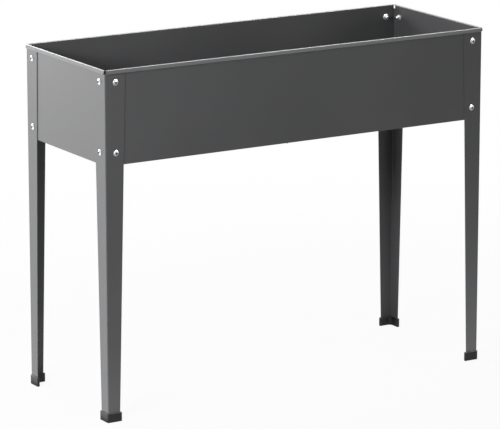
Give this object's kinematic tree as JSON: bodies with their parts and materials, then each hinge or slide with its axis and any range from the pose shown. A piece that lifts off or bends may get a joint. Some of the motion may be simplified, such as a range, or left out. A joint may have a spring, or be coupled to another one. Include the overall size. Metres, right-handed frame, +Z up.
{
  "type": "raised garden bed",
  "caption": "Rectangular sheet-steel planting trough with a hemmed rim and drained base, bolted at its corners to tall tapered angle legs that stand in moulded feet.",
  "frame": {"origin": "on the floor, under the middle of the bed", "axes": "+X along the bed's length, -Y towards its front, +Z up"},
  "size_m": [1.007, 0.375, 0.8],
  "materials": {
    "powder_coat": "satin dark grey powder coat",
    "zinc": "bright zinc plate",
    "foot_plastic": "moulded black, finely grained"
  },
  "bodies": {
    "root": {"front_panel": "powder_coat", "back_panel": "powder_coat", "left_end_panel": "powder_coat", "right_end_panel": "powder_coat", "left_base_panel": "powder_coat", "right_base_panel": "powder_coat", "front_left_leg": "powder_coat", "front_left_foot": "foot_plastic", "front_right_leg": "powder_coat", "front_right_foot": "foot_plastic", "back_left_leg": "powder_coat", "back_left_foot": "foot_plastic", "back_right_leg": "powder_coat", "back_right_foot": "foot_plastic", "base_joint_bolts": "zinc", "base_joint_nuts": "zinc", "front_left_leg_bolts": "zinc", "front_left_leg_nuts": "zinc", "front_right_leg_bolts": "zinc", "front_right_leg_nuts": "zinc", "back_left_leg_bolts": "zinc", "back_left_leg_nuts": "zinc", "back_right_leg_bolts": "zinc", "back_right_leg_nuts": "zinc"}
  },
  "joints": []
}
